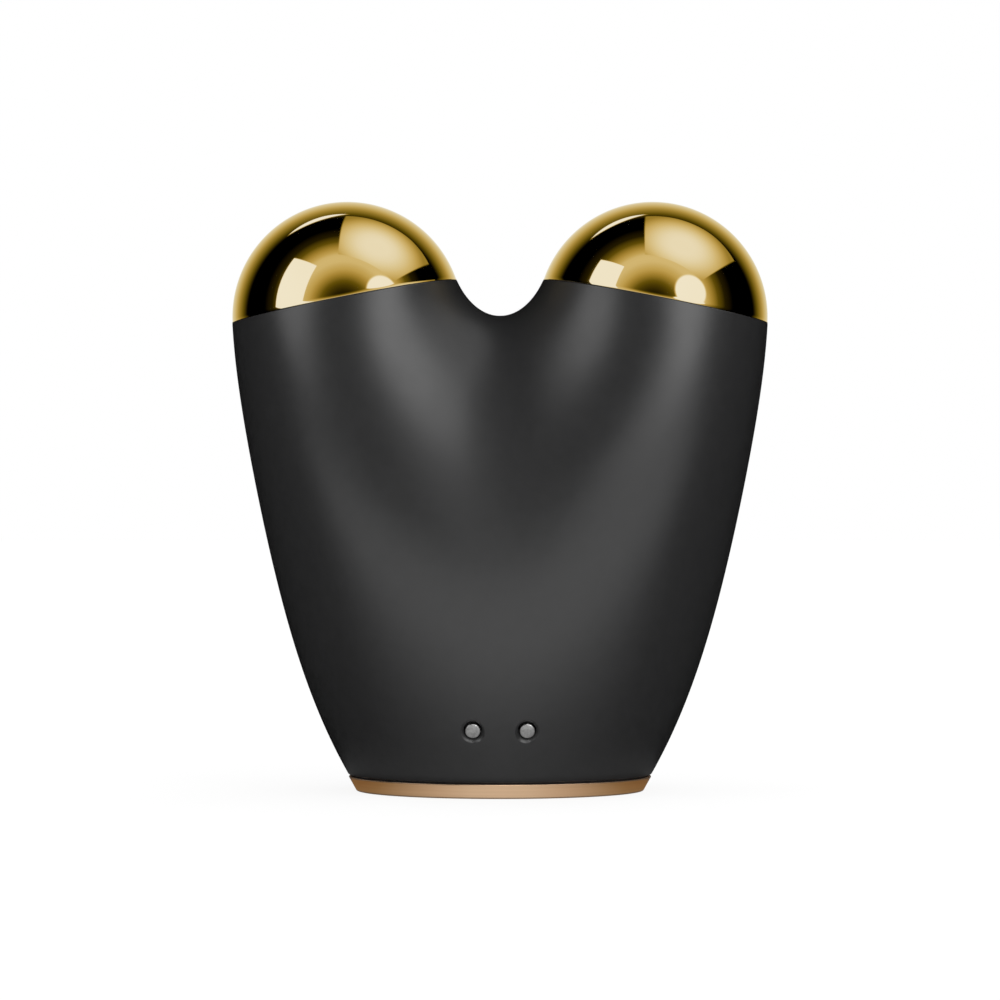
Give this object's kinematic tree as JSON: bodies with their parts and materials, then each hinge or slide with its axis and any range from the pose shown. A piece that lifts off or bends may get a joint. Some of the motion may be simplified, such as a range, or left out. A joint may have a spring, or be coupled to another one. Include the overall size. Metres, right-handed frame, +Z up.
{
  "type": "facial toning device",
  "caption": "Hand-held facial toning device: flared charcoal body with a bronze base band, gold dome electrodes on leaning arms, rear charging contacts and a front power button.",
  "frame": {"origin": "on the ground under the middle of the base", "axes": "+Z up, -Y out of the rear with the charging contacts, +Y out of the front with the power button, X from the left dome to the right dome as seen from -Y"},
  "size_m": [0.056, 0.0344, 0.0613],
  "materials": {
    "soft_touch_plastic": "soft-touch coat",
    "bronze": "satin, plated",
    "gold_plate": "mirror polish",
    "black_rubber": "matte",
    "dark_plastic": "fine texture",
    "clear_plastic": "polished",
    "pale_plastic": "moulded",
    "board_green": "lacquered",
    "chip_black": "moulded",
    "copper_winding": "varnished",
    "ceramic": "fired",
    "steel": "plated",
    "tinned_brass": "tinned",
    "contact_metal": "brushed, plated",
    "battery_foil": "foil",
    "foam": "closed cell",
    "red_wire": "insulated",
    "black_wire": "insulated"
  },
  "bodies": {
    "body": {"front_shell": "soft_touch_plastic", "rear_shell": "soft_touch_plastic", "base_trim": "bronze", "base_cap": "dark_plastic", "base_seal": "black_rubber", "base_screws": "steel", "base_pad": "black_rubber", "dome_left": "gold_plate", "dome_right": "gold_plate", "dome_gasket_left": "black_rubber", "dome_gasket_right": "black_rubber", "dome_seat_left": "pale_plastic", "dome_seat_right": "pale_plastic", "dome_nut_left": "steel", "dome_nut_right": "steel", "solder_tag_left": "tinned_brass", "solder_tag_right": "tinned_brass", "dome_wire_left": "red_wire", "dome_wire_right": "black_wire", "switch_body": "dark_plastic", "light_pipe": "clear_plastic", "status_leds": "ceramic", "circuit_board": "board_green", "controller_chip": "chip_black", "charger_chip": "chip_black", "output_transformer": "copper_winding", "boost_inductor": "chip_black", "board_capacitors": "ceramic", "buzzer": "dark_plastic", "battery_connector": "pale_plastic", "chassis": "pale_plastic", "chassis_screws": "steel", "battery": "battery_foil", "battery_pad": "foam", "battery_wires": "black_wire", "contact_carrier": "dark_plastic", "charge_pin_left": "contact_metal", "charge_pin_right": "contact_metal", "pin_seal_left": "black_rubber", "pin_seal_right": "black_rubber", "charge_magnets": "steel", "charge_wire_left": "red_wire", "charge_wire_right": "black_wire"},
    "button": {"power_button": "dark_plastic", "button_o_ring": "black_rubber"},
    "plunger": {"switch_plunger": "pale_plastic"}
  },
  "joints": [
    {"name": "button_press", "type": "slide", "parent": "body", "child": "button", "axis": [0, -1, 0], "range_m": [0, 0.0003], "stiffness_N_per_m": 2000},
    {"name": "plunger_press", "type": "slide", "parent": "body", "child": "plunger", "axis": [0, -1, 0], "range_m": [0, 0.0003]}
  ],
  "couplings": [
    {"joint": "plunger_press", "follows": "button_press", "ratio": 1}
  ]
}
